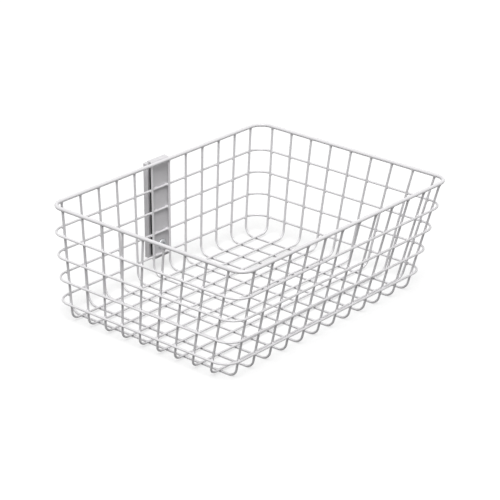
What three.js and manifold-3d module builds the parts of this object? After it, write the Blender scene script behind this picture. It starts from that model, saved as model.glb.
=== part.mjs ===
// Wire basket for a cart, with a clamp bracket on its back wall.
// Millimetres, +Z up, +X along the long side, the bracket at +Y.

import * as THREE from 'three';
import { mergeVertices } from 'three/addons/utils/BufferGeometryUtils.js';
import Module from 'manifold-3d';

const wasm = await Module();
wasm.setup();

// Basket: sizes to the wire axes
const RIM_LENGTH = 310;
const RIM_DEPTH = 249.7;
const FLOOR_LENGTH = 292.9;
const FLOOR_DEPTH = 218;
const BASKET_HEIGHT = 121.8;
const CORNER_RADIUS = 15;
const CROSS_BEND_RADIUS = 11;
const LONG_BEND_RADIUS = 8.5;

// Wires and their spacing
const WIRE_DIAMETER = 2.3;
const HOOP_DIAMETER = 2.3;
const RIM_DIAMETER = 3.8;
const CROSS_WIRE_COUNT = 12;
const LONG_WIRE_COUNT = 9;
const HOOP_COUNT = 4;
const END_CLEARANCE = 0.4;
const SIDE_CLEARANCE = 2.5;
const TOP_HOOP_DROP = 28.5;
const LOW_HOOP_RISE = 19.05;

// Bracket on the back wall
const BRACKET_OFFSET = 4.2;
const BRACKET_WIDTH = 25.4;
const FOOT_DROP = 4.7;
const PLATE_THICKNESS = 1.5;
const PLATE_BEND_RADIUS = 1;
const PLATE_TOP_RISE = 1.1;
const FLANGE_DEPTH = 6.5;
const SPACER_WIDTH = 21.2;
const SPACER_DEPTH = 3.9;
const SPACER_MARGIN = 3;
const SPACER_CORNER_RADIUS = 1.5;
const CLAMP_THICKNESS = 6.8;
const CLAMP_TOP_DROP = 3;
const CLAMP_EDGE_RADIUS = 1.2;

// Clamp screw
const SCREW_SHARE = 0.41;
const SCREW_DIAMETER = 6;
const SCREW_LENGTH = 12;
const HEAD_DIAMETER = 11;
const HEAD_HEIGHT = 2.2;
const HEAD_RIM_HEIGHT = 0.9;
const HEAD_DOME_DROP = 0.3;
const SOCKET_ACROSS_FLATS = 4;
const SOCKET_DEPTH = 1.5;
const SOCKET_SIDES = 6;

// Fits and facets
const GAP = 0.3;
const HOLE_CLEARANCE = 0.4;
const WIRE_SIDES = 8;
const RIM_SIDES = 10;
const ARC_STEPS = 8;
const ROUND_SIDES = 24;
const MERGE_TOLERANCE = 1e-4;

const WIRE_RADIUS = WIRE_DIAMETER / 2;
const HOOP_RADIUS = HOOP_DIAMETER / 2;
const RIM_RADIUS = RIM_DIAMETER / 2;
const RIM_FRONT = -RIM_DEPTH / 2;
const BACK = RIM_DEPTH / 2;
const FLOOR_FRONT = BACK - FLOOR_DEPTH;
const CROSS_LEVEL = WIRE_RADIUS;
const LONG_LEVEL = CROSS_LEVEL + WIRE_DIAMETER + GAP;
const RIM_LEVEL = CROSS_LEVEL + BASKET_HEIGHT;
const LARGEST_BEND = Math.max(CROSS_BEND_RADIUS, LONG_BEND_RADIUS, CORNER_RADIUS);
const END_MARGIN = LARGEST_BEND + END_CLEARANCE;
const SIDE_MARGIN = LARGEST_BEND + SIDE_CLEARANCE;

// Levels of the hoops and of the bracket that hangs on them
const TOP_HOOP = RIM_LEVEL - TOP_HOOP_DROP;
const LOW_HOOP = CROSS_LEVEL + LOW_HOOP_RISE;
const HOOP_PITCH = (TOP_HOOP - LOW_HOOP) / (HOOP_COUNT - 1);
const BRACKET_FOOT = LOW_HOOP - FOOT_DROP;
const CLAMP_TOP = RIM_LEVEL - CLAMP_TOP_DROP;
const SCREW_LEVEL = LOW_HOOP + SCREW_SHARE * HOOP_PITCH;

// Bracket faces, counted in +Y from the back wall's wire axes
const PLATE_FRONT = BACK + WIRE_RADIUS + GAP + HOOP_DIAMETER + GAP;
const PLATE_BACK = PLATE_FRONT + PLATE_THICKNESS;
const SPACER_FRONT = PLATE_BACK + GAP;
const CLAMP_FRONT = SPACER_FRONT + SPACER_DEPTH + GAP;
const CLAMP_BACK = CLAMP_FRONT + CLAMP_THICKNESS;
const HEAD_BACK = PLATE_FRONT - GAP;
const HOLE_RADIUS = SCREW_DIAMETER / 2 + HOLE_CLEARANCE;

const X = new THREE.Vector3(1, 0, 0);
const Y = new THREE.Vector3(0, 1, 0);
const Z = new THREE.Vector3(0, 0, 1);

const coatedWire = new THREE.MeshStandardMaterial({ color: 0xdddcde, roughness: 0.36, metalness: 0 });
const greyPlate = new THREE.MeshStandardMaterial({ color: 0xd2d0d2, roughness: 0.42, metalness: 0 });
const blackPlastic = new THREE.MeshStandardMaterial({ color: 0x1c1c1e, roughness: 0.65, metalness: 0 });
const zincSteel = new THREE.MeshStandardMaterial({ color: 0xb9bcc0, roughness: 0.35, metalness: 0.9 });

// A path through given stations, so that straight runs take one step and bends take several.
class StationPath extends THREE.Curve {
  constructor(stations) {
    super();
    this.stations = stations;
  }

  getPoint(t, target = new THREE.Vector3()) {
    const place = t * (this.stations.length - 1);
    const index = Math.min(Math.floor(place), this.stations.length - 2);
    return target.lerpVectors(this.stations[index], this.stations[index + 1], place - index);
  }

  getUtoTmapping(u) {
    return u;
  }
}

// Stations of an arc of the given radius that rounds the corner between two straight runs.
function roundedCorner(before, corner, after, radius) {
  const inward = before.clone().sub(corner).normalize();
  const outward = after.clone().sub(corner).normalize();
  const halfAngle = inward.angleTo(outward) / 2;
  const bisector = inward.clone().add(outward).normalize();
  const centre = corner.clone().addScaledVector(bisector, radius / Math.sin(halfAngle));
  const start = corner.clone().addScaledVector(inward, radius / Math.tan(halfAngle)).sub(centre);
  const axis = inward.clone().cross(outward).normalize();
  const turn = Math.PI - 2 * halfAngle;
  const stations = [];
  for (let step = 0; step <= ARC_STEPS; step += 1) {
    const spoke = start.clone().applyAxisAngle(axis, (-turn * step) / ARC_STEPS);
    stations.push(spoke.add(centre));
  }
  return stations;
}

// A regular polygon whose flats face the path's own axes.
function roundSection(diameter, sides) {
  const points = [];
  for (let side = 0; side < sides; side += 1) {
    const angle = ((side + 0.5) * 2 * Math.PI) / sides;
    points.push(new THREE.Vector2(Math.cos(angle), Math.sin(angle)).multiplyScalar(diameter / 2));
  }
  return new THREE.Shape(points);
}

function openTube(stations, diameter, sides) {
  return new THREE.ExtrudeGeometry(roundSection(diameter, sides), {
    steps: stations.length - 1,
    extrudePath: new StationPath(stations),
  });
}

// A tube whose last station is its first: only the wall is kept, without the two lids.
function closedTube(stations, diameter, sides) {
  const tube = openTube(stations, diameter, sides);
  const wall = tube.groups[1];
  const values = tube.getAttribute('position').array.slice(wall.start * 3, (wall.start + wall.count) * 3);
  const geometry = new THREE.BufferGeometry();
  geometry.setAttribute('position', new THREE.BufferAttribute(values, 3));
  geometry.computeVertexNormals();
  return geometry;
}

function toSolid(geometry) {
  const bare = geometry.clone();
  bare.deleteAttribute('normal');
  bare.deleteAttribute('uv');
  const merged = mergeVertices(bare, MERGE_TOLERANCE);
  return new wasm.Manifold(new wasm.Mesh({
    numProp: 3,
    vertProperties: new Float32Array(merged.getAttribute('position').array),
    triVerts: new Uint32Array(merged.getIndex().array),
  }));
}

function cut(geometry, tool) {
  const mesh = toSolid(geometry).subtract(toSolid(tool)).getMesh();
  const result = new THREE.BufferGeometry();
  result.setAttribute('position', new THREE.BufferAttribute(mesh.vertProperties, 3));
  result.setIndex(new THREE.BufferAttribute(mesh.triVerts, 1));
  result.computeVertexNormals();
  return result;
}

// A round bar along +Y between two places.
function barAlongY(diameter, from, to, sides) {
  const bar = new THREE.CylinderGeometry(diameter / 2, diameter / 2, to - from, sides);
  return bar.translate(0, (from + to) / 2, 0);
}

// A flat outline in X and Z, given thickness from front to back along +Y.
function slab(outline, front, back) {
  const geometry = new THREE.ExtrudeGeometry(outline, {
    depth: back - front,
    bevelEnabled: false,
    curveSegments: ROUND_SIDES / 2,
  });
  geometry.applyMatrix4(new THREE.Matrix4().makeBasis(X, Z, Y.clone().negate()));
  return geometry.translate(0, back, 0);
}

function roundHole(outline, z, radius) {
  const hole = new THREE.Path();
  hole.absarc(0, z, radius, 0, 2 * Math.PI, true);
  outline.holes.push(hole);
  return outline;
}

// Centred places of evenly spread wires.
function spread(count, width, centre) {
  const pitch = width / (count - 1);
  return Array.from({ length: count }, (_, index) => centre + (index - (count - 1) / 2) * pitch);
}

// A wall's place at a height, between its floor line and its rim line.
function wallAt(floorLine, rimLine, z) {
  return floorLine + ((rimLine - floorLine) * (z - CROSS_LEVEL)) / (RIM_LEVEL - CROSS_LEVEL);
}

// A U-shaped wire that starts and ends just under the rim.
function bentWire(rimStart, floorStart, floorEnd, rimEnd, bendRadius) {
  const start = rimStart.clone().addScaledVector(floorStart.clone().sub(rimStart).normalize(), RIM_RADIUS + GAP);
  const end = rimEnd.clone().addScaledVector(floorEnd.clone().sub(rimEnd).normalize(), RIM_RADIUS + GAP);
  const stations = [
    start,
    ...roundedCorner(start, floorStart, floorEnd, bendRadius),
    ...roundedCorner(floorStart, floorEnd, end, bendRadius),
    end,
  ];
  return openTube(stations, WIRE_DIAMETER, WIRE_SIDES);
}

function crossWire(rimX, floorX) {
  return bentWire(
    new THREE.Vector3(rimX, BACK, RIM_LEVEL),
    new THREE.Vector3(floorX, BACK, CROSS_LEVEL),
    new THREE.Vector3(floorX, FLOOR_FRONT, CROSS_LEVEL),
    new THREE.Vector3(rimX, RIM_FRONT, RIM_LEVEL),
    CROSS_BEND_RADIUS,
  );
}

function longWire(rimY, floorY) {
  const floorEnd = wallAt(FLOOR_LENGTH, RIM_LENGTH, LONG_LEVEL) / 2;
  return bentWire(
    new THREE.Vector3(-RIM_LENGTH / 2, rimY, RIM_LEVEL),
    new THREE.Vector3(-floorEnd, floorY, LONG_LEVEL),
    new THREE.Vector3(floorEnd, floorY, LONG_LEVEL),
    new THREE.Vector3(RIM_LENGTH / 2, rimY, RIM_LEVEL),
    LONG_BEND_RADIUS,
  );
}

// A level hoop round the basket's walls, set out from the wires' axes, starting mid back.
function hoop(z, outset, diameter, sides) {
  const side = wallAt(FLOOR_LENGTH, RIM_LENGTH, z) / 2 + outset;
  const front = wallAt(FLOOR_FRONT, RIM_FRONT, z) - outset;
  const back = BACK + outset;
  const radius = CORNER_RADIUS + outset;
  const corners = [
    new THREE.Vector3(-side, back, z),
    new THREE.Vector3(-side, front, z),
    new THREE.Vector3(side, front, z),
    new THREE.Vector3(side, back, z),
  ];
  const stations = [new THREE.Vector3(0, back, z)];
  corners.forEach((corner, index) => {
    const before = corners[(index + corners.length - 1) % corners.length];
    const after = corners[(index + 1) % corners.length];
    stations.push(...roundedCorner(before, corner, after, radius));
  });
  stations.push(stations[0].clone());
  return closedTube(stations, diameter, sides);
}

// The mount plate's side view: up behind the hoops, then folded back over the spacer.
function plateProfile() {
  const inner = PLATE_BEND_RADIUS;
  const outer = inner + PLATE_THICKNESS;
  const top = RIM_LEVEL + PLATE_TOP_RISE;
  const under = top - PLATE_THICKNESS;
  const flangeEnd = PLATE_FRONT + FLANGE_DEPTH;
  const profile = new THREE.Shape();
  profile.moveTo(PLATE_FRONT, BRACKET_FOOT);
  profile.lineTo(PLATE_BACK, BRACKET_FOOT);
  profile.absarc(PLATE_BACK + inner, under - inner, inner, Math.PI, Math.PI / 2, true);
  profile.lineTo(flangeEnd, under);
  profile.lineTo(flangeEnd, top);
  profile.absarc(PLATE_BACK + inner, under - inner, outer, Math.PI / 2, Math.PI, false);
  profile.closePath();
  return profile;
}

function mountPlate() {
  const sheet = new THREE.ExtrudeGeometry(plateProfile(), {
    depth: BRACKET_WIDTH,
    bevelEnabled: false,
    curveSegments: ARC_STEPS,
  });
  sheet.applyMatrix4(new THREE.Matrix4().makeBasis(Y, Z, X));
  sheet.translate(-BRACKET_WIDTH / 2, 0, 0);
  const drill = barAlongY(2 * HOLE_RADIUS, PLATE_FRONT - GAP, PLATE_BACK + GAP, ROUND_SIDES);
  return cut(sheet, drill.translate(0, 0, SCREW_LEVEL));
}

function uprightOutline(width, foot, top, radius) {
  const half = width / 2;
  const outline = new THREE.Shape();
  outline.absarc(half - radius, foot + radius, radius, -Math.PI / 2, 0, false);
  outline.absarc(half - radius, top - radius, radius, 0, Math.PI / 2, false);
  outline.absarc(radius - half, top - radius, radius, Math.PI / 2, Math.PI, false);
  outline.absarc(radius - half, foot + radius, radius, Math.PI, 1.5 * Math.PI, false);
  outline.closePath();
  return outline;
}

function spacerBar() {
  const foot = BRACKET_FOOT + SPACER_MARGIN;
  const top = CLAMP_TOP - SPACER_MARGIN;
  const outline = uprightOutline(SPACER_WIDTH, foot, top, SPACER_CORNER_RADIUS);
  return slab(roundHole(outline, SCREW_LEVEL, HOLE_RADIUS), SPACER_FRONT, SPACER_FRONT + SPACER_DEPTH);
}

// A bar of one section from foot to top, with its two rear edges rounded for the track.
function clampBar() {
  const half = BRACKET_WIDTH / 2;
  const radius = CLAMP_EDGE_RADIUS;
  const section = new THREE.Shape();
  section.moveTo(-half, CLAMP_FRONT);
  section.lineTo(half, CLAMP_FRONT);
  section.absarc(half - radius, CLAMP_BACK - radius, radius, 0, Math.PI / 2, false);
  section.absarc(radius - half, CLAMP_BACK - radius, radius, Math.PI / 2, Math.PI, false);
  section.closePath();
  const bar = new THREE.ExtrudeGeometry(section, {
    depth: CLAMP_TOP - BRACKET_FOOT,
    bevelEnabled: false,
    curveSegments: ARC_STEPS,
  });
  const drill = barAlongY(2 * HOLE_RADIUS, CLAMP_FRONT - GAP, CLAMP_BACK + GAP, ROUND_SIDES);
  return cut(bar.translate(0, 0, BRACKET_FOOT), drill.translate(0, 0, SCREW_LEVEL));
}

// The screw's outline from the tip to the dome, turned about Y, with a hexagon socket in the head.
function clampScrew() {
  const shank = SCREW_DIAMETER / 2;
  const head = HEAD_DIAMETER / 2;
  const front = HEAD_BACK - HEAD_HEIGHT;
  const socketRadius = SOCKET_ACROSS_FLATS / 2 / Math.cos(Math.PI / SOCKET_SIDES);
  const profile = [
    new THREE.Vector2(0, front),
    new THREE.Vector2((head + socketRadius) / 2, front + HEAD_DOME_DROP),
    new THREE.Vector2(head, HEAD_BACK - HEAD_RIM_HEIGHT),
    new THREE.Vector2(head, HEAD_BACK),
    new THREE.Vector2(shank, HEAD_BACK),
    new THREE.Vector2(shank, HEAD_BACK + SCREW_LENGTH),
    new THREE.Vector2(0, HEAD_BACK + SCREW_LENGTH),
  ];
  const body = new THREE.LatheGeometry(profile, ROUND_SIDES);
  const socket = barAlongY(2 * socketRadius, front - GAP, front + SOCKET_DEPTH, SOCKET_SIDES);
  return cut(body, socket).translate(0, 0, SCREW_LEVEL);
}

function piece(name, geometry, material) {
  const mesh = new THREE.Mesh(geometry, material);
  mesh.name = name;
  return mesh;
}

function makeBasket() {
  const basket = new THREE.Group();
  basket.add(piece('rim', hoop(RIM_LEVEL, 0, RIM_DIAMETER, RIM_SIDES), coatedWire));
  for (let index = 0; index < HOOP_COUNT; index += 1) {
    const z = TOP_HOOP - index * HOOP_PITCH;
    const geometry = hoop(z, WIRE_RADIUS + GAP + HOOP_RADIUS, HOOP_DIAMETER, WIRE_SIDES);
    basket.add(piece(`hoop_${index + 1}`, geometry, coatedWire));
  }
  const floorX = spread(CROSS_WIRE_COUNT, FLOOR_LENGTH - 2 * END_MARGIN, 0);
  spread(CROSS_WIRE_COUNT, RIM_LENGTH - 2 * END_MARGIN, 0).forEach((rimX, index) => {
    const name = `cross_wire_${String(index + 1).padStart(2, '0')}`;
    basket.add(piece(name, crossWire(rimX, floorX[index]), coatedWire));
  });
  const floorY = spread(LONG_WIRE_COUNT, FLOOR_DEPTH - 2 * SIDE_MARGIN, (FLOOR_FRONT + BACK) / 2);
  spread(LONG_WIRE_COUNT, RIM_DEPTH - 2 * SIDE_MARGIN, 0).forEach((rimY, index) => {
    basket.add(piece(`long_wire_${index + 1}`, longWire(rimY, floorY[index]), coatedWire));
  });
  return basket;
}

function makeBracket() {
  const bracket = new THREE.Group();
  bracket.position.x = BRACKET_OFFSET;
  bracket.add(piece('mount_plate', mountPlate(), greyPlate));
  bracket.add(piece('spacer_bar', spacerBar(), blackPlastic));
  bracket.add(piece('clamp_bar', clampBar(), greyPlate));
  bracket.add(piece('clamp_screw', clampScrew(), zincSteel));
  return bracket;
}

// The origin lies under the middle of the whole part, on the surface that it stands on.
const part = new THREE.Group();
part.add(makeBasket(), makeBracket());
const box = new THREE.Box3().setFromObject(part);
const middle = box.getCenter(new THREE.Vector3());
part.position.set(-middle.x, -middle.y, -box.min.z);

export default part;
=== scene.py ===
"""Looks of a wire cart basket with a clamp bracket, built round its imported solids.

Sizes are in millimetres and become metres when a mesh is made.
"""

import logging
import math
from dataclasses import dataclass
from enum import Enum
from typing import Optional, Sequence, Union

import bmesh
import bpy
import numpy as np
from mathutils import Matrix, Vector


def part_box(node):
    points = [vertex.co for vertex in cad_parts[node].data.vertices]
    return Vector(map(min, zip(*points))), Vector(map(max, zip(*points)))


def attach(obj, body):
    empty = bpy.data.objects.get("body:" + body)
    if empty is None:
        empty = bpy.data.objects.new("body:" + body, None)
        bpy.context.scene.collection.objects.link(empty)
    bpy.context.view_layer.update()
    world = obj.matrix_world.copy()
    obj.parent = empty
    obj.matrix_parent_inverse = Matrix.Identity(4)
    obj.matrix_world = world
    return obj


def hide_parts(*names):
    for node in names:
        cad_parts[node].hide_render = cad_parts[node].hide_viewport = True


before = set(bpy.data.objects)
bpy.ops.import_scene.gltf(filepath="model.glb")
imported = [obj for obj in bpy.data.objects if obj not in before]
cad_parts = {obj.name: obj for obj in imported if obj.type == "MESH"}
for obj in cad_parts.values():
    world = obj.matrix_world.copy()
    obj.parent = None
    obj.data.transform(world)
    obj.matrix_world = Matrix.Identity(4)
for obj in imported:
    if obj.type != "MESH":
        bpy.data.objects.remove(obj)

LOG = logging.getLogger("basket")
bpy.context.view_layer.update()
MM = 0.001
FULL_TURN = 2.0 * math.pi
X_AXIS = np.array([1.0, 0.0, 0.0])
Y_AXIS = np.array([0.0, 1.0, 0.0])
Z_AXIS = np.array([0.0, 0.0, 1.0])

# Facets of round forms
CORNER_STEPS = 6
FOLD_STEPS = 14
EDGE_STEPS = 4
BEAD_RINGS = 5
BEAD_SIDES = 12
BEAD_POLE = 0.25
SHARP_DEGREES = 40.0

# Places near a rounded end, in edge radii, and near a welded wire end, in flare lengths
EDGE_STATIONS = np.array([0.0, 0.08, 0.3, 0.6, 1.0, 1.6])
FLARE_STATIONS = np.array([0.3, 0.6, 1.0, 1.5, 2.2, 3.2, 5.0])

# Shares: of a corner's radius on the straight beside it, and of the way from a hole to the plate's edge
RUN_SHARE = 0.5
HOLE_BAND = 0.04


class Body(Enum):
    """The rigid bodies that pieces ride on."""

    BASKET = "basket"
    SCREW = "screw"
    CLAMP = "clamp"


class Slot(Enum):
    """The record's material slots."""

    WIRE = "coated_wire"
    PLATE = "bracket_grey"
    SPACER = "spacer_black"
    ZINC = "zinc_steel"


Number = Union[int, float]


class Value:
    """A socket's output inside a material, with arithmetic that adds Math nodes."""

    def __init__(self, shader: "Shader", socket: bpy.types.NodeSocket) -> None:
        """Keeps the socket and the material that it belongs to."""
        self.shader = shader
        self.socket = socket

    def _math(self, operation: str, first: "Operand", second: "Operand") -> "Value":
        """Adds one Math node.

        Args:
            operation: The Math node's operation.
            first: Its first value.
            second: Its second value.

        Returns:
            The node's result.
        """
        return self.shader.node("ShaderNodeMath", {"operation": operation}, {0: first, 1: second})

    def __add__(self, other: "Operand") -> "Value":
        """This value plus another."""
        return self._math("ADD", self, other)

    def __rsub__(self, other: "Operand") -> "Value":
        """Another value less this one."""
        return self._math("SUBTRACT", other, self)

    def __mul__(self, other: "Operand") -> "Value":
        """This value times another."""
        return self._math("MULTIPLY", self, other)

    def larger(self, other: "Operand") -> "Value":
        """The larger of this value and another."""
        return self._math("MAXIMUM", self, other)


Operand = Union[Value, Number, Sequence[float]]


class Shader:
    """One node material, or the world, built from an empty tree."""

    def __init__(self, owner: Union[bpy.types.Material, bpy.types.World]) -> None:
        """Empties the owner's node tree."""
        owner.use_nodes = True
        self.owner = owner
        self.tree = owner.node_tree
        self.tree.nodes.clear()

    def node(self, kind: str, settings: dict, inputs: dict, output: Union[int, str] = 0) -> Value:
        """Adds a node.

        Args:
            kind: The node's type.
            settings: Properties that are set before its sockets.
            inputs: Values or links of its sockets, by name or number.
            output: The output to hand back.

        Returns:
            That output.
        """
        made = self.tree.nodes.new(kind)
        for name, setting in settings.items():
            setattr(made, name, setting)
        for key, given in inputs.items():
            if isinstance(given, Value):
                self.tree.links.new(given.socket, made.inputs[key])
            else:
                made.inputs[key].default_value = given
        return Value(self, made.outputs[output])

    def place(self) -> Value:
        """Places in the piece's own Object coordinates, which are metres in the part's frame."""
        return self.node("ShaderNodeTexCoord", {}, {}, "Object")

    def noise(self, size: float, detail: float = 2.0, stretch: Optional[Sequence[float]] = None) -> Value:
        """Soft noise from 0 to 1.

        Args:
            size: The grain's size in millimetres.
            detail: How many finer layers it has.
            stretch: How many times finer it is along each axis.

        Returns:
            The noise.
        """
        place = self.place()
        if stretch is not None:
            place = self.node("ShaderNodeMapping", {}, {"Vector": place, "Scale": stretch})
        return self.node(
            "ShaderNodeTexNoise", {}, {"Vector": place, "Scale": 1.0 / (size * MM), "Detail": detail}, "Fac"
        )

    def between(self, share: Operand, low: Sequence[float], high: Sequence[float]) -> Value:
        """A colour between two colours.

        Args:
            share: From 0, low, to 1, high.
            low: The first colour.
            high: The second colour.

        Returns:
            The mixed colour.
        """
        inputs = {"Factor": share, 6: (*low, 1.0), 7: (*high, 1.0)}
        return self.node("ShaderNodeMix", {"data_type": "RGBA"}, inputs, 2)

    def bump(self, height: Value, depth: float) -> Value:
        """A bumped normal.

        Args:
            height: Heights from 0 to 1.
            depth: What a height of 1 stands for, in millimetres.

        Returns:
            The normal.
        """
        return self.node("ShaderNodeBump", {}, {"Height": height, "Strength": 1.0, "Distance": depth * MM})

    def in_sight(self) -> Value:
        """1 for rays that come from the camera, from gloss or through clear pieces, and 0 for the rest."""
        kinds = ("Camera", "Glossy", "Transmission")
        camera, gloss, clear = (
            self.node("ShaderNodeLightPath", {}, {}, f"Is {kind} Ray") for kind in kinds
        )
        return camera.larger(gloss).larger(clear)

    def end(self, kind: str, surface: Value) -> None:
        """Joins the surface to the output node of the given type."""
        output = self.tree.nodes.new(kind)
        self.tree.links.new(surface.socket, output.inputs["Surface"])


Colour = tuple[float, float, float]


@dataclass(frozen=True)
class PowderCoat:
    """Baked powder coat: a satin skin with orange peel, faint clouding and a thin gloss."""

    name: str
    colour: Colour
    shade: Colour
    roughness: float = 0.34
    coat: float = 0.25
    coat_roughness: float = 0.12
    peel_size: float = 0.9
    peel_depth: float = 0.006
    peel_share: float = 0.75
    grains_per_peel: float = 4.0
    grain_gloss: float = 0.16
    cloud_size: float = 38.0
    cloud_share: float = 0.7

    def material(self) -> bpy.types.Material:
        """Makes the material: clouding tints the colour, peel and grain bump it, grain varies the gloss."""
        shader = Shader(bpy.data.materials.new(self.name))
        peel = shader.noise(self.peel_size, detail=1.0)
        grain = shader.noise(self.peel_size / self.grains_per_peel)
        cloud = shader.noise(self.cloud_size, detail=3.0)
        height = peel * self.peel_share + grain * (1.0 - self.peel_share)
        tint = cloud * self.cloud_share + grain * (1.0 - self.cloud_share)
        surface = shader.node(
            "ShaderNodeBsdfPrincipled",
            {},
            {
                "Base Color": shader.between(tint, self.shade, self.colour),
                "Roughness": grain * self.grain_gloss + (self.roughness - self.grain_gloss / 2.0),
                "Coat Weight": self.coat,
                "Coat Roughness": self.coat_roughness,
                "Normal": shader.bump(height, self.peel_depth),
            },
        )
        shader.end("ShaderNodeOutputMaterial", surface)
        return shader.owner


@dataclass(frozen=True)
class MouldedPlastic:
    """Spark-eroded black plastic: fine matte grain with paler, rubbed patches."""

    name: str
    colour: Colour
    rubbed: Colour
    roughness: float = 0.62
    gloss: float = 0.2
    grain_size: float = 0.45
    grain_depth: float = 0.02
    patch_size: float = 14.0
    patch_gloss: float = 0.12

    def material(self) -> bpy.types.Material:
        """Makes the material: the grain bumps it, soft patches lift the colour and the gloss."""
        shader = Shader(bpy.data.materials.new(self.name))
        grain = shader.noise(self.grain_size, detail=3.0)
        patch = shader.noise(self.patch_size)
        surface = shader.node(
            "ShaderNodeBsdfPrincipled",
            {},
            {
                "Base Color": shader.between(patch * grain, self.colour, self.rubbed),
                "Roughness": self.roughness - patch * self.patch_gloss,
                "Specular IOR Level": self.gloss,
                "Normal": shader.bump(grain, self.grain_depth),
            },
        )
        shader.end("ShaderNodeOutputMaterial", surface)
        return shader.owner


@dataclass(frozen=True)
class ZincPlate:
    """Dull zinc on steel: metal with faint turning lines and cloudy gloss."""

    name: str
    colour: Colour
    dull: Colour
    roughness: float = 0.36
    line_size: float = 0.25
    line_depth: float = 0.003
    line_stretch: tuple[float, float, float] = (0.25, 1.0, 0.25)
    cloud_size: float = 3.2
    cloud_gloss: float = 0.18

    def material(self) -> bpy.types.Material:
        """Makes the material: clouds dull the colour and the gloss, fine lines bump it."""
        shader = Shader(bpy.data.materials.new(self.name))
        cloud = shader.noise(self.cloud_size, detail=3.0)
        line = shader.noise(self.line_size, stretch=self.line_stretch)
        surface = shader.node(
            "ShaderNodeBsdfPrincipled",
            {},
            {
                "Base Color": shader.between(cloud, self.dull, self.colour),
                "Roughness": cloud * self.cloud_gloss + self.roughness,
                "Metallic": 1.0,
                "Normal": shader.bump(line, self.line_depth),
            },
        )
        shader.end("ShaderNodeOutputMaterial", surface)
        return shader.owner


WIRE_COAT = PowderCoat("wire_coat", (0.755, 0.745, 0.76), (0.69, 0.68, 0.695))
PLATE_COAT = PowderCoat("plate_coat", (0.67, 0.66, 0.675), (0.61, 0.6, 0.615), roughness=0.42, coat=0.12)
SPACER_PLASTIC = MouldedPlastic("spacer_plastic", (0.012, 0.012, 0.013), (0.04, 0.04, 0.042))
ZINC = ZincPlate("dull_zinc", (0.6, 0.61, 0.63), (0.48, 0.49, 0.5))


@dataclass(frozen=True)
class Surface:
    """A mesh in millimetres: points, four-sided faces, and lids with more sides."""

    points: np.ndarray
    quads: np.ndarray
    lids: tuple[tuple[int, ...], ...] = ()

    @staticmethod
    def of_grid(points: np.ndarray, wrap_rows: bool, lids: bool) -> "Surface":
        """Joins a grid of points whose columns close on themselves.

        Args:
            points: Rows by columns by three.
            wrap_rows: Whether the last row joins the first.
            lids: Whether the first and last rows get a flat lid.

        Returns:
            The surface.
        """
        rows, columns = points.shape[:2]
        row = np.arange(rows if wrap_rows else rows - 1)[:, None]
        column = np.arange(columns)[None, :]
        after, below = (column + 1) % columns, (row + 1) % rows
        here, under = row * columns, below * columns
        corners = (here + column, here + after, under + after, under + column)
        ends: tuple[tuple[int, ...], ...] = ()
        if lids:
            first = tuple(range(columns - 1, -1, -1))
            last = tuple(range((rows - 1) * columns, rows * columns))
            ends = (first, last)
        return Surface(points.reshape(-1, 3), np.stack(corners, axis=-1).reshape(-1, 4), ends)

    @staticmethod
    def joined(surfaces: Sequence["Surface"]) -> "Surface":
        """One surface made of several that don't share points."""
        counts = [len(surface.points) for surface in surfaces]
        starts = np.concatenate([[0], np.cumsum(counts)[:-1]]).astype(int)
        lids = tuple(
            tuple(index + int(start) for index in lid)
            for surface, start in zip(surfaces, starts)
            for lid in surface.lids
        )
        return Surface(
            np.concatenate([surface.points for surface in surfaces]),
            np.concatenate([surface.quads + start for surface, start in zip(surfaces, starts)]),
            lids,
        )

    def moved(self, offset: Sequence[float]) -> "Surface":
        """The same surface, moved by an offset in millimetres."""
        return Surface(self.points + np.array(offset), self.quads, self.lids)


def ring(sides: int) -> np.ndarray:
    """Points of a unit circle, counted anticlockwise."""
    angle = np.arange(sides) * FULL_TURN / sides
    return np.stack([np.cos(angle), np.sin(angle)], axis=-1)


def unit(vectors: np.ndarray) -> np.ndarray:
    """Vectors at length one."""
    return vectors / np.linalg.norm(vectors, axis=-1, keepdims=True)


def rounded_corner(
    before: np.ndarray, corner: np.ndarray, after: np.ndarray, radius: float, steps: int
) -> np.ndarray:
    """Places along the arc that rounds a corner: centre plus radius times cosine and sine of the angle.

    Args:
        before: A point on the run into the corner.
        corner: The sharp corner.
        after: A point on the run out of it.
        radius: The bend's radius.
        steps: How many steps the arc takes.

    Returns:
        The places, from the run in to the run out.
    """
    inward, outward = unit(before - corner), unit(after - corner)
    half = math.acos(float(inward @ outward)) / 2.0
    centre = corner + unit(inward + outward) * radius / math.sin(half)
    start = corner + inward * radius / math.tan(half) - centre
    angle = np.linspace(0.0, math.pi - 2.0 * half, steps + 1)[:, None]
    return centre + np.cos(angle) * start - np.sin(angle) * inward * radius


def sweep(
    path: np.ndarray, across: np.ndarray, section: np.ndarray, size: np.ndarray, closed: bool
) -> Surface:
    """A section carried along a path, with one axis kept square to the path and near a given direction.

    Each point is the path's place plus size times the section's two numbers along those two axes.

    Args:
        path: The path's places.
        across: The direction that the section's first number points along.
        section: The section's points, in two numbers.
        size: The section's size at each place.
        closed: Whether the path closes on itself.

    Returns:
        The swept surface, with lids where the path is open.
    """
    if closed:
        along = unit(np.roll(path, -1, axis=0) - np.roll(path, 1, axis=0))
    else:
        along = unit(np.gradient(path, axis=0))
    first = unit(across - (along @ across)[:, None] * along)
    second = np.cross(along, first)
    reach = section[None, :, :1] * first[:, None] + section[None, :, 1:] * second[:, None]
    return Surface.of_grid(path[:, None] + size[:, None, None] * reach, closed, not closed)


def corner_arc(radius: float) -> np.ndarray:
    """A quarter circle about its centre, from X to the next axis, with a point on each straight beside it."""
    quarter = np.linspace(0.0, math.pi / 2.0, CORNER_STEPS + 1)
    arc = np.stack([np.cos(quarter), np.sin(quarter)], axis=-1)
    return radius * np.concatenate([[[1.0, -RUN_SHARE]], arc, [[-RUN_SHARE, 1.0]]])


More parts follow.
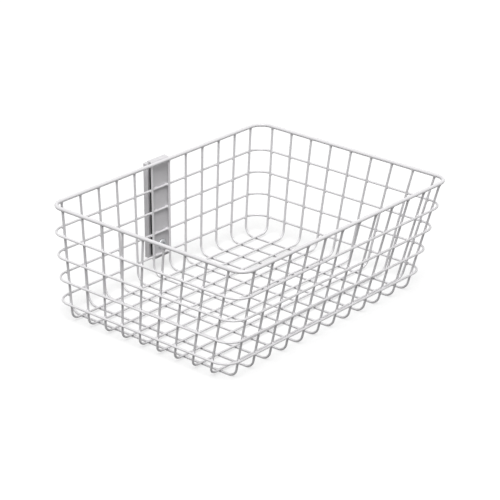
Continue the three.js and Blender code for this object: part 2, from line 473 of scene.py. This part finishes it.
def rounded_outline(
    width: float, low: float, high: float, low_radius: float, high_radius: float
) -> np.ndarray:
    """A rectangle with round corners, counted anticlockwise: each corner's centre plus its quarter circle.

    Args:
        width: Its width, centred on 0.
        low: Its low side.
        high: Its high side.
        low_radius: The radius of the two corners on its low side.
        high_radius: The radius of the two corners on its high side.

    Returns:
        The outline's points.
    """
    foot, top = corner_arc(low_radius), corner_arc(high_radius)
    quarter_turn = np.array([[0.0, 1.0], [-1.0, 0.0]])
    foot_x, top_x = width / 2.0 - low_radius, width / 2.0 - high_radius
    return np.concatenate([
        top + (top_x, high - high_radius),
        top @ quarter_turn + (-top_x, high - high_radius),
        -foot + (-foot_x, low + low_radius),
        -foot @ quarter_turn + (foot_x, low + low_radius),
    ])


def folded_bar(corners: Sequence[np.ndarray], bend: float, section: np.ndarray, edge: float) -> Surface:
    """A section carried along straight runs with a round fold between them, with its two end edges rounded.

    Each point is the path's place plus the section's first number along X and its second square to the run.
    Near an end, both are less by the edge's radius less the height of its quarter circle there.

    Args:
        corners: The path's ends and folds, in order.
        bend: The folds' radius at the path.
        section: The section's points about the path.
        edge: The rounding of the end edges.

    Returns:
        The bar.
    """
    ease = edge * EDGE_STATIONS
    into, out = unit(corners[1] - corners[0]), unit(corners[-2] - corners[-1])
    folds = [rounded_corner(*corners[i - 1:i + 2], bend, FOLD_STEPS) for i in range(1, len(corners) - 1)]
    start, finish = corners[0] + ease[:, None] * into, corners[-1] + ease[:, None] * out
    path = np.concatenate([start, *folds, finish[::-1]])
    rest = np.maximum(edge - ease, 0.0)
    narrowing = edge - np.sqrt(edge**2 - rest**2)
    inset = np.zeros(len(path))
    inset[: len(ease)], inset[len(path) - len(ease):] = narrowing, narrowing[::-1]
    normal = np.cross(unit(np.gradient(path, axis=0)), X_AXIS)
    pulled = section[None] - inset[:, None, None] * np.sign(section)[None]
    reach = pulled[:, :, :1] * X_AXIS + pulled[:, :, 1:] * normal[:, None]
    return Surface.of_grid(path[:, None] + reach, False, True)


def holed_plate(
    outline: np.ndarray, hole: np.ndarray, front: float, back: float, edge: float
) -> Surface:
    """A flat plate with a hole: rings run over the front, round the edge, over the back and through the hole.

    Each ring is the hole or the outline, set in or out by the edge's rounding, at a depth in Y.

    Args:
        outline: The plate's outline in X and Z.
        hole: The hole's outline, with as many points and the same start.
        front: The front face's Y.
        back: The back face's Y.
        edge: The rounding of the edges.

    Returns:
        The plate.
    """
    middle, centre = outline.mean(axis=0), hole.mean(axis=0)
    inset = outline - edge * unit(outline - middle) * math.sqrt(2.0)
    quarter = np.linspace(0.0, math.pi / 2.0, EDGE_STEPS + 1)
    rise, fall = np.sin(quarter), np.cos(quarter)
    rings: list[tuple[np.ndarray, float]] = []
    for share, depth in zip(rise, 1.0 - fall):
        rings.append((inset + (outline - inset) * share, front + edge * depth))
    for share, depth in zip(fall, 1.0 - rise):
        rings.append((inset + (outline - inset) * share, back - edge * depth))
    wide = hole + edge * unit(hole - centre)
    band = wide + (inset - wide) * HOLE_BAND
    rings += [(band, back), (wide, back), (hole, back - edge)]
    rings += [(hole, front + edge), (wide, front), (band, front)]
    grid = np.stack([np.insert(flat, 1, y, axis=1) for flat, y in rings])
    return Surface.of_grid(grid, True, False)


def turned(radii: np.ndarray, depths: np.ndarray) -> Surface:
    """A shape turned about Y: each ring has its own radius, which may vary round the turn.

    Args:
        radii: Rings by columns.
        depths: Each ring's Y.

    Returns:
        The turned surface, with a lid at each end.
    """
    circle = ring(radii.shape[1])
    deep = np.broadcast_to(depths[:, None], radii.shape)
    grid = np.stack([radii * circle[:, 0], deep, radii * circle[:, 1]], axis=-1)
    return Surface.of_grid(grid, False, True)


def weld_beads(
    centres: np.ndarray, first: np.ndarray, second: np.ndarray, sizes: Sequence[float]
) -> Surface:
    """Lens-shaped beads, one at each crossing: cosine and sine of two angles along three axes.

    Args:
        centres: The crossings.
        first: One wire's direction at each crossing.
        second: The other wire's direction.
        sizes: Half sizes along the first wire, the second wire and between them.

    Returns:
        All the beads as one surface.
    """
    polar = np.linspace(BEAD_POLE, math.pi - BEAD_POLE, BEAD_RINGS)
    circle = ring(BEAD_SIDES)
    between = np.cross(first, second)
    flat = np.sin(polar)[:, None, None] * circle[None]
    reach = (
        flat[None, :, :, :1] * first[:, None, None] * sizes[0]
        + flat[None, :, :, 1:] * second[:, None, None] * sizes[1]
        + np.cos(polar)[None, :, None, None] * between[:, None, None] * sizes[2]
    )
    grids = centres[:, None, None] + reach
    return Surface.joined([Surface.of_grid(grid, False, True) for grid in grids])


def outward_mesh(name: str, surface: Surface) -> bpy.types.Mesh:
    """Makes a mesh in metres from a surface, with its faces turned outwards.

    Args:
        name: The mesh's name.
        surface: The shape in millimetres.

    Returns:
        The mesh.
    """
    mesh = bpy.data.meshes.new(name)
    faces = surface.quads.tolist() + [list(lid) for lid in surface.lids]
    mesh.from_pydata((surface.points * MM).tolist(), [], faces)
    work = bmesh.new()
    work.from_mesh(mesh)
    if work.calc_volume(signed=True) < 0.0:
        bmesh.ops.reverse_faces(work, faces=work.faces)
    work.to_mesh(mesh)
    work.free()
    return mesh


def new_piece(
    name: str,
    surface: Surface,
    material: bpy.types.Material,
    body: Body,
    node: Optional[str] = None,
    sharp: float = SHARP_DEGREES,
) -> bpy.types.Object:
    """Makes a piece, dresses it and sets it on its body.

    Args:
        name: The piece's name.
        surface: Its shape in millimetres, in the part's frame.
        material: Its finish.
        body: The body that it rides on.
        node: The solid that it stands for, if any.
        sharp: Edges that turn by more degrees than this stay sharp.

    Returns:
        The piece.
    """
    mesh = outward_mesh(name, surface)
    mesh.polygons.foreach_set("use_smooth", np.ones(len(mesh.polygons), dtype=bool))
    mesh.set_sharp_from_angle(angle=math.radians(sharp))
    mesh.materials.append(material)
    piece = bpy.data.objects.new(name, mesh)
    bpy.context.scene.collection.objects.link(piece)
    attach(piece, body.value)
    if node is not None:
        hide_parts(node)
        low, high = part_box(node)
        drift = max(
            np.abs(surface.points.min(axis=0) - np.array(low) / MM).max(),
            np.abs(surface.points.max(axis=0) - np.array(high) / MM).max(),
        )
        LOG.info("%s: %d faces, %.2f mm from its solid's box", name, len(mesh.polygons), drift)
    else:
        LOG.info("%s: %d faces", name, len(mesh.polygons))
    return piece


@dataclass
class WireBasket:
    """Rim, hoops and bent wires, with the welds that join them."""

    rim_length: float = 310.0
    rim_depth: float = 249.7
    floor_length: float = 292.9
    floor_depth: float = 218.0
    height: float = 121.8
    corner_radius: float = 15.0
    cross_bend: float = 11.0
    long_bend: float = 8.5
    wire: float = 2.3
    rim_wire: float = 3.8
    cross_wires: int = 12
    long_wires: int = 9
    end_margin: float = 15.4
    side_margin: float = 17.5
    hoops: int = 4
    top_hoop_drop: float = 28.5
    low_hoop_rise: float = 19.05
    gap: float = 0.3
    end_share: float = 0.55
    flare: float = 0.55
    flare_length: float = 0.9
    butt_swell: float = 0.12
    butt_length: float = 1.3
    butt_reach: float = 3.0
    butt_steps: int = 6
    rim_butt_x: float = -58.0
    hoop_butt_x: float = 52.0
    hoop_butt_step: float = 9.0
    bead_reach: float = 1.95
    bead_depth: float = 1.05
    arc_steps: int = 20
    sides: int = 20
    rim_sides: int = 24

    def __post_init__(self) -> None:
        """Works out levels and lines, and where the basket lies in the part's frame."""
        self.radius = self.wire / 2.0
        self.back = self.rim_depth / 2.0
        self.cross_level = self.radius
        self.long_level = self.cross_level + self.wire + self.gap
        self.rim_level = self.cross_level + self.height
        self.floor_front = self.back - self.floor_depth
        self.outset = self.wire + self.gap
        low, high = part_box("rim")
        middle = (np.array(low) + np.array(high)) / 2.0 / MM
        self.shift = middle - np.array([0.0, 0.0, self.rim_level])
        self.hoop_levels = np.linspace(
            self.rim_level - self.top_hoop_drop, self.cross_level + self.low_hoop_rise, self.hoops
        )
        self.rim_x = self.spread(self.cross_wires, self.rim_length - 2.0 * self.end_margin, 0.0)
        self.floor_x = self.spread(self.cross_wires, self.floor_length - 2.0 * self.end_margin, 0.0)
        self.rim_y = self.spread(self.long_wires, self.rim_depth - 2.0 * self.side_margin, 0.0)
        self.floor_y = self.spread(
            self.long_wires, self.floor_depth - 2.0 * self.side_margin, (self.floor_front + self.back) / 2.0
        )

    @staticmethod
    def spread(count: int, width: float, centre: float) -> np.ndarray:
        """Even places across a width."""
        return centre + np.linspace(-width / 2.0, width / 2.0, count)

    def wall_at(self, floor_line: float, rim_line: float, z: np.ndarray) -> np.ndarray:
        """A wall's place at a height, between its floor line and its rim line."""
        return floor_line + (rim_line - floor_line) * (z - self.cross_level) / self.height

    def hoop_path(self, z: float, outset: float, weld_x: float) -> tuple[np.ndarray, np.ndarray]:
        """A level loop with round corners that starts at its butt weld on the back wall.

        Args:
            z: The loop's height.
            outset: How far it lies outside the wires' axes.
            weld_x: Where its butt weld is.

        Returns:
            The loop's places, and the swelling at each.
        """
        side = float(self.wall_at(self.floor_length, self.rim_length, z)) / 2.0 + outset
        front = float(self.wall_at(self.floor_front, -self.back, z)) - outset
        back = self.back + outset
        corners = [np.array(c + (z,)) for c in ((-side, back), (-side, front), (side, front), (side, back))]
        near = self.butt_length * np.linspace(-self.butt_reach, self.butt_reach, 2 * self.butt_steps + 1)
        seam = np.stack([weld_x - near, np.full(len(near), back), np.full(len(near), z)], axis=-1)
        radius, count = self.corner_radius + outset, len(corners)
        arcs = [
            rounded_corner(corners[i - 1], corners[i], corners[(i + 1) % count], radius, self.arc_steps)
            for i in range(count)
        ]
        half = self.butt_steps
        path = np.concatenate([seam[half:], *arcs, seam[:half]])
        swell = np.ones(len(path))
        bulge = 1.0 + self.butt_swell * np.exp(-((near / self.butt_length) ** 2))
        swell[: len(near) - half] = bulge[half:]
        swell[len(path) - half:] = bulge[:half]
        return path, swell

    def bent_path(self, places: Sequence[np.ndarray], bend: float) -> tuple[np.ndarray, np.ndarray]:
        """A U-shaped wire from rim to floor to rim, which flares where its ends are welded into the rim.

        Args:
            places: Rim, floor, floor and rim corners of the wire's axis.
            bend: The radius of its two bends.

        Returns:
            The wire's places, and its size at each.
        """
        rim = self.rim_wire / 2.0
        steps = np.concatenate([[self.end_share * rim, rim], rim + self.flare_length * FLARE_STATIONS])
        down, up = unit(places[1] - places[0]), unit(places[2] - places[3])
        path = np.concatenate(
            [
                places[0] + steps[:, None] * down,
                rounded_corner(places[0], places[1], places[2], bend, self.arc_steps),
                rounded_corner(places[1], places[2], places[3], bend, self.arc_steps),
                (places[3] + steps[:, None] * up)[::-1],
            ]
        )
        flare = self.flare * np.exp(-np.maximum(steps - rim, 0.0) / self.flare_length)
        size = np.full(len(path), self.radius)
        size[: len(steps)] += flare
        size[len(path) - len(steps):] += flare[::-1]
        return path, size

    def build_loops(self, coat: bpy.types.Material) -> None:
        """Makes the rim and the hoops."""
        path, swell = self.hoop_path(self.rim_level, 0.0, self.rim_butt_x)
        rim = sweep(path + self.shift, Z_AXIS, ring(self.rim_sides), swell * self.rim_wire / 2.0, True)
        new_piece("rim_loop", rim, coat, Body.BASKET, "rim")
        for index, level in enumerate(self.hoop_levels):
            butt_x = self.hoop_butt_x + self.hoop_butt_step * index
            path, swell = self.hoop_path(float(level), self.outset, butt_x)
            loop = sweep(path + self.shift, Z_AXIS, ring(self.sides), swell * self.radius, True)
            new_piece(f"hoop_loop_{index + 1}", loop, coat, Body.BASKET, f"hoop_{index + 1}")

    def build_wires(self, coat: bpy.types.Material) -> None:
        """Makes the wires that run down one wall, over the floor and up the other."""
        for index, (rim_x, floor_x) in enumerate(zip(self.rim_x, self.floor_x), start=1):
            places = [
                np.array([rim_x, self.back, self.rim_level]),
                np.array([floor_x, self.back, self.cross_level]),
                np.array([floor_x, self.floor_front, self.cross_level]),
                np.array([rim_x, -self.back, self.rim_level]),
            ]
            path, size = self.bent_path(places, self.cross_bend)
            wire = sweep(path + self.shift, X_AXIS, ring(self.sides), size, False)
            number = f"{index:02d}"
            new_piece(f"cross_bend_{number}", wire, coat, Body.BASKET, f"cross_wire_{number}")
        end = float(self.wall_at(self.floor_length, self.rim_length, self.long_level)) / 2.0
        for index, (rim_y, floor_y) in enumerate(zip(self.rim_y, self.floor_y), start=1):
            places = [
                np.array([-self.rim_length / 2.0, rim_y, self.rim_level]),
                np.array([-end, floor_y, self.long_level]),
                np.array([end, floor_y, self.long_level]),
                np.array([self.rim_length / 2.0, rim_y, self.rim_level]),
            ]
            path, size = self.bent_path(places, self.long_bend)
            wire = sweep(path + self.shift, Y_AXIS, ring(self.sides), size, False)
            new_piece(f"long_bend_{index}", wire, coat, Body.BASKET, f"long_wire_{index}")

    def wall_crossings(self) -> tuple[np.ndarray, np.ndarray]:
        """Every crossing of a hoop and an upright, with the way out of the wall there.

        Returns:
            The uprights' places, and the outward directions.
        """
        z = self.hoop_levels
        share_x = ((z - self.cross_level) / self.height)[:, None]
        share_y = ((z - self.long_level) / (self.rim_level - self.long_level))[:, None]
        x = self.floor_x + (self.rim_x - self.floor_x) * share_x
        y = self.floor_y + (self.rim_y - self.floor_y) * share_y
        zx, zy = np.broadcast_to(z[:, None], x.shape), np.broadcast_to(z[:, None], y.shape)
        front = self.wall_at(self.floor_front, -self.back, zx)
        side = self.wall_at(self.floor_length, self.rim_length, zy) / 2.0
        walls = (
            (np.stack([x, np.full(x.shape, self.back), zx], axis=-1), Y_AXIS),
            (np.stack([x, front, zx], axis=-1), -Y_AXIS),
            (np.stack([side, y, zy], axis=-1), X_AXIS),
            (np.stack([-side, y, zy], axis=-1), -X_AXIS),
        )
        places = np.concatenate([place.reshape(-1, 3) for place, _ in walls])
        outward = np.concatenate([np.tile(way, (place.size // 3, 1)) for place, way in walls])
        return places, outward

    def build_welds(self, coat: bpy.types.Material) -> None:
        """Makes the beads where hoops cross uprights, and where the floor's wires cross."""
        reach = (self.bead_reach, self.bead_reach, self.bead_depth)
        places, outward = self.wall_crossings()
        upright = np.tile(Z_AXIS, (len(places), 1))
        level = np.cross(upright, outward)
        centres = places + outward * self.outset / 2.0 + self.shift
        new_piece("wall_welds", weld_beads(centres, upright, level, reach), coat, Body.BASKET)
        x, y = (grid.ravel() for grid in np.meshgrid(self.floor_x, self.floor_y))
        height = np.full(x.shape, (self.long_level + self.cross_level) / 2.0)
        centres = np.stack([x, y, height], axis=-1) + self.shift
        first, second = np.tile(X_AXIS, (len(x), 1)), np.tile(Y_AXIS, (len(x), 1))
        new_piece("floor_welds", weld_beads(centres, first, second, reach), coat, Body.BASKET)

    def build(self) -> None:
        """Makes and dresses every piece of the basket."""
        coat = WIRE_COAT.material()
        self.build_loops(coat)
        self.build_wires(coat)
        self.build_welds(coat)


@dataclass
class ClampBracket:
    """Mount plate, spacer, clamp bar and screw on the back wall."""

    basket: WireBasket
    offset: float = 4.2
    width: float = 25.4
    foot_drop: float = 4.7
    plate: float = 1.5
    plate_bend: float = 1.0
    plate_rise: float = 1.1
    flange: float = 6.5
    spacer_width: float = 21.2
    spacer_depth: float = 3.9
    spacer_margin: float = 3.0
    spacer_corner: float = 1.5
    spacer_edge: float = 0.7
    spacer_marks: int = 90
    clamp: float = 6.8
    clamp_drop: float = 3.0
    clamp_edge: float = 1.2
    screw_share: float = 0.41
    screw: float = 6.0
    screw_length: float = 12.0
    head: float = 11.0
    head_height: float = 2.2
    head_rim: float = 0.9
    head_edge: float = 0.2
    dome_steps: int = 8
    socket_flats: float = 4.0
    socket_depth: float = 1.5
    socket_lip: float = 0.25
    socket_chamfer: float = 0.15
    socket_floor: float = 0.4
    neck_swell: float = 0.15
    neck_length: float = 0.2
    hole_clearance: float = 0.4
    drill_overrun: float = 1.0
    edge: float = 0.35
    thread_pitch: float = 1.0
    thread_depth: float = 0.34
    thread_steps: int = 10
    groove_slope: float = 1.6
    groove_land: float = 0.25
    tip_chamfer: float = 0.9
    tip_share: float = 0.72
    screw_sharp: float = 35.0
    weld_spread: float = 15.2
    weld_size: tuple[float, float, float] = (2.9, 1.55, 0.95)
    around: int = 72

    def __post_init__(self) -> None:
        """Works out the faces along Y and the levels along Z, in the part's frame."""
        basket = self.basket
        gap, dx, dy, dz = basket.gap, *basket.shift
        self.x = self.offset + dx
        self.plate_front = basket.back + basket.radius + gap + basket.wire + gap + dy
        self.plate_back = self.plate_front + self.plate
        self.spacer_front = self.plate_back + gap
        self.spacer_back = self.spacer_front + self.spacer_depth
        self.clamp_front = self.spacer_back + gap
        self.clamp_back = self.clamp_front + self.clamp
        self.head_back = self.plate_front - gap
        self.hole = self.screw / 2.0 + self.hole_clearance
        low_hoop = basket.hoop_levels[-1]
        pitch = basket.hoop_levels[-2] - low_hoop
        self.foot = low_hoop - self.foot_drop + dz
        self.top = basket.rim_level + self.plate_rise + dz
        self.clamp_top = basket.rim_level - self.clamp_drop + dz
        self.screw_level = low_hoop + self.screw_share * pitch + dz

    def placed(self, surface: Surface) -> Surface:
        """A surface moved from the bracket's middle line to its place."""
        return surface.moved((self.x, 0.0, 0.0))

    def hole_ring(self, outline: np.ndarray) -> np.ndarray:
        """The screw's hole, with one point facing each point of an outline."""
        centre = np.array([0.0, self.screw_level])
        return centre + self.hole * unit(outline - centre)

    def even_outline(self, width: float, low: float, high: float, radius: float) -> np.ndarray:
        """An upright outline with marks added along its sides, so that rings round the hole stay even."""
        outline = rounded_outline(width, low, high, radius, radius)
        closed = np.concatenate([outline, outline[:1]])
        length = np.concatenate([[0.0], np.cumsum(np.linalg.norm(np.diff(closed, axis=0), axis=1))])
        even = np.linspace(0.0, length[-1], self.spacer_marks, endpoint=False)
        marks = np.union1d(np.round(length[:-1], 6), even)
        return np.stack([np.interp(marks, length, closed[:, axis]) for axis in (0, 1)], axis=-1)

    def hole_tool(self, front: float, back: float) -> Surface:
        """A cylinder that cuts the screw's hole between two places in Y."""
        ends = np.array([front - self.drill_overrun, back + self.drill_overrun])
        bit = turned(np.full((len(ends), self.around), self.hole), ends)
        return bit.moved((self.x, 0.0, self.screw_level))

    def build_mount_plate(self, coat: bpy.types.Material) -> None:
        """Carries a flat section with round edges up the plate and back over its fold, then drills it."""
        half = self.plate / 2.0
        middle, roof = self.plate_front + half, self.top - half
        ends = np.array([
            [0.0, middle, self.foot],
            [0.0, middle, roof],
            [0.0, self.plate_front + self.flange, roof],
        ])
        section = rounded_outline(self.width, -half, half, self.edge, self.edge)
        sheet = self.placed(folded_bar(ends, self.plate_bend + half, section, self.edge))
        piece = new_piece("mount_sheet", sheet, coat, Body.BASKET, "mount_plate")
        self.drill(piece, self.hole_tool(self.plate_front, self.plate_back))

    def build_clamp_bar(self, coat: bpy.types.Material) -> None:
        """Carries a section with two round rear corners up the bar that the screw draws in, and drills it."""
        half = self.clamp / 2.0
        middle = self.clamp_front + half
        ends = np.array([[0.0, middle, self.foot], [0.0, middle, self.clamp_top]])
        section = rounded_outline(self.width, -half, half, self.edge, self.clamp_edge)
        bar = self.placed(folded_bar(ends, 0.0, section, self.edge))
        piece = new_piece("clamp_block", bar, coat, Body.CLAMP, "clamp_bar")
        self.drill(piece, self.hole_tool(self.clamp_front, self.clamp_back))

    @staticmethod
    def drill(piece: bpy.types.Object, tool: Surface) -> None:
        """Cuts a tool's shape out of a piece.

        Args:
            piece: The piece to drill.
            tool: The shape to take away, in millimetres.
        """
        bit = bpy.data.objects.new("drill", outward_mesh("drill", tool))
        bpy.context.scene.collection.objects.link(bit)
        cut = piece.modifiers.new("screw_hole", "BOOLEAN")
        cut.operation, cut.solver, cut.object = "DIFFERENCE", "EXACT", bit
        graph = bpy.context.evaluated_depsgraph_get()
        drilled = bpy.data.meshes.new_from_object(piece.evaluated_get(graph))
        piece.modifiers.clear()
        piece.data = drilled
        drilled.set_sharp_from_angle(angle=math.radians(SHARP_DEGREES))
        bpy.data.objects.remove(bit)

    def build_spacer(self, plastic: bpy.types.Material) -> None:
        """Makes the dark core between the plate and the bar."""
        low, high = self.foot + self.spacer_margin, self.clamp_top - self.spacer_margin
        outline = self.even_outline(self.spacer_width, low, high, self.spacer_corner)
        hole = self.hole_ring(outline)
        core = holed_plate(outline, hole, self.spacer_front, self.spacer_back, self.spacer_edge)
        new_piece("spacer_core", self.placed(core), plastic, Body.BASKET, "spacer_bar")

    def head_rings(self, angle: np.ndarray) -> list[tuple[np.ndarray, float]]:
        """Rings of the screw's head, from the floor of its hexagon socket over the dome to the neck.

        Args:
            angle: The angles of a ring's points.

        Returns:
            Each ring's radii, and its Y.
        """
        sector = math.pi / 3.0
        hexagon = self.socket_flats / 2.0 / np.cos((angle + sector / 2.0) % sector - sector / 2.0)
        whole = np.ones(len(angle))
        front, head = self.head_back - self.head_height, self.head / 2.0
        floor = front + self.socket_depth
        mouth = hexagon.max() + self.socket_lip
        lean = np.linspace(0.0, math.pi / 2.0, self.dome_steps + 1)
        dome_radius = mouth + (head - mouth) * np.sin(lean)
        dome_depth = front + (self.head_height - self.head_rim) * (1.0 - np.cos(lean))
        socket = [
            (self.socket_floor * hexagon, floor),
            (hexagon, floor),
            (hexagon, front + self.socket_chamfer),
        ]
        dome = [(radius * whole, depth) for radius, depth in zip(dome_radius, dome_depth)]
        neck = [
            (head * whole, self.head_back - self.head_edge),
            ((head - self.head_edge) * whole, self.head_back),
            ((self.screw / 2.0 + self.neck_swell) * whole, self.head_back),
        ]
        return socket + dome + neck

    def shank_rings(self, angle: np.ndarray) -> tuple[np.ndarray, np.ndarray]:
        """Rings of the screw's shank: the radius follows a helix, and narrows over the tip.

        Args:
            angle: The angles of a ring's points.

        Returns:
            The radii, rings by angles, and each ring's Y.
        """
        shank, tip = self.screw / 2.0, self.head_back + self.screw_length
        depth = np.arange(self.head_back + self.neck_length, tip, self.thread_pitch / self.thread_steps)
        phase = (depth[:, None] / self.thread_pitch - angle[None] / FULL_TURN) % 1.0
        slope = self.groove_slope * (1.0 - np.abs(2.0 * phase - 1.0))
        groove = np.clip(slope - self.groove_land, 0.0, 1.0)
        fade = np.clip((depth - self.plate_back) / self.thread_pitch, 0.0, 1.0)[:, None]
        thread = shank - self.thread_depth * groove * fade
        chamfer = np.maximum(0.0, depth - (tip - self.tip_chamfer))[:, None]
        radii = np.minimum(thread, shank - chamfer)
        return np.concatenate([radii, self.tip_share * radii[-1:]]), np.append(depth, tip)

    def build_screw(self, zinc: bpy.types.Material) -> None:
        """Makes the screw by turning its head and its threaded shank in one."""
        angle = np.arange(self.around) * FULL_TURN / self.around
        head = self.head_rings(angle)
        shank_radii, shank_depths = self.shank_rings(angle)
        radii = np.concatenate([np.stack([radius for radius, _ in head]), shank_radii])
        depths = np.concatenate([[depth for _, depth in head], shank_depths])
        shape = turned(radii, depths).moved((self.x, 0.0, self.screw_level))
        new_piece("socket_screw", shape, zinc, Body.SCREW, "clamp_screw", self.screw_sharp)

    def build_welds(self, coat: bpy.types.Material) -> None:
        """Makes the beads that hold the mount plate against the hoops."""
        basket = self.basket
        across = self.x + self.weld_spread * np.array([-0.5, 0.5])
        x, z = (grid.ravel() for grid in np.meshgrid(across, basket.hoop_levels + basket.shift[2]))
        centres = np.stack([x, np.full(x.shape, self.plate_front - basket.gap / 2.0), z], axis=-1)
        first, second = np.tile(X_AXIS, (len(x), 1)), np.tile(Z_AXIS, (len(x), 1))
        beads = weld_beads(centres, first, second, self.weld_size)
        new_piece("plate_welds", beads, coat, Body.BASKET)

    def build(self) -> None:
        """Makes and dresses every piece of the bracket."""
        coat, zinc = PLATE_COAT.material(), ZINC.material()
        self.build_mount_plate(coat)
        self.build_spacer(SPACER_PLASTIC.material())
        self.build_clamp_bar(coat)
        self.build_screw(zinc)
        self.build_welds(coat)


@dataclass
class Studio:
    """Camera, pale floor, white surroundings and a soft lamp high on the front left."""

    basket: WireBasket
    azimuth: float = -48.748
    elevation: float = 23.424
    distance: float = 2064.873
    target: tuple[float, float, float] = (-1.97, 1.652, 61.076)
    focal_pixels: float = 2076.959
    image_pixels: float = 500.0
    sensor: float = 36.0
    floor_size: float = 9000.0
    floor_white: float = 0.6
    floor_bounce: float = 0.08
    sky: float = 0.45
    lamp_level: float = 0.88
    lamp_spread: float = 40.0
    lamp_from: tuple[float, float, float] = (-0.38, -0.32, 0.87)

    def build_camera(self) -> None:
        """Sets the camera at the photograph's viewing angle."""
        turn, rise = math.radians(self.azimuth), math.radians(self.elevation)
        back = Vector((math.sin(turn) * math.cos(rise), -math.cos(turn) * math.cos(rise), math.sin(rise)))
        data = bpy.data.cameras.new("camera")
        data.sensor_width = self.sensor
        data.lens = self.sensor * self.focal_pixels / self.image_pixels
        camera = bpy.data.objects.new("camera", data)
        camera.location = (Vector(self.target) + Vector(self.basket.shift) + back * self.distance) * MM
        camera.rotation_euler = (-back).to_track_quat("-Z", "Y").to_euler()
        bpy.context.scene.collection.objects.link(camera)
        bpy.context.scene.camera = camera

    def build_floor(self) -> None:
        """Makes a plain floor that looks white to the camera and in gloss, and sends back less light."""
        shader = Shader(bpy.data.materials.new("studio_floor"))
        seen = shader.in_sight()
        pale = shader.between(seen, (self.floor_bounce,) * 3, (1.0, 1.0, 1.0))
        shaded = shader.node("ShaderNodeBsdfDiffuse", {}, {"Color": pale})
        white = shader.node("ShaderNodeEmission", {}, {"Strength": 1.0})
        mixed = shader.node("ShaderNodeMixShader", {}, {0: seen * self.floor_white, 1: shaded, 2: white})
        shader.end("ShaderNodeOutputMaterial", mixed)
        corners = self.floor_size / 2.0 * np.array([[-1, -1, 0], [1, -1, 0], [1, 1, 0], [-1, 1, 0]])
        mesh = bpy.data.meshes.new("floor")
        mesh.from_pydata((corners * MM).tolist(), [], [[0, 1, 2, 3]])
        mesh.materials.append(shader.owner)
        floor = bpy.data.objects.new("floor", mesh)
        bpy.context.scene.collection.objects.link(floor)

    def build_light(self) -> None:
        """Sets white surroundings, dimmer as a lamp than they look, and one wide soft lamp from above."""
        world = bpy.data.worlds.new("studio")
        bpy.context.scene.world = world
        shader = Shader(world)
        strength = shader.in_sight() * (1.0 - self.sky) + self.sky
        light = shader.node("ShaderNodeBackground", {}, {"Color": (1.0, 1.0, 1.0, 1.0), "Strength": strength})
        shader.end("ShaderNodeOutputWorld", light)
        lamp = bpy.data.lights.new("overhead", "SUN")
        lamp.energy, lamp.angle = math.pi * self.lamp_level, math.radians(self.lamp_spread)
        holder = bpy.data.objects.new("overhead", lamp)
        holder.rotation_euler = (-Vector(self.lamp_from)).to_track_quat("-Z", "Y").to_euler()
        bpy.context.scene.collection.objects.link(holder)

    def build(self) -> None:
        """Sets the camera, the floor and the lights, with colours shown as they are."""
        bpy.context.scene.view_settings.view_transform = "Standard"
        self.build_camera()
        self.build_floor()
        self.build_light()


def write_sizes() -> None:
    """Brings the view layer up to date."""
    bpy.context.view_layer.update()


def main() -> None:
    """Builds the studio, the basket and its bracket, in that order."""
    logging.basicConfig(level=logging.INFO, format="%(message)s")
    basket = WireBasket()
    Studio(basket).build()
    basket.build()
    ClampBracket(basket).build()
    write_sizes()


if __name__ == "__main__":
    main()
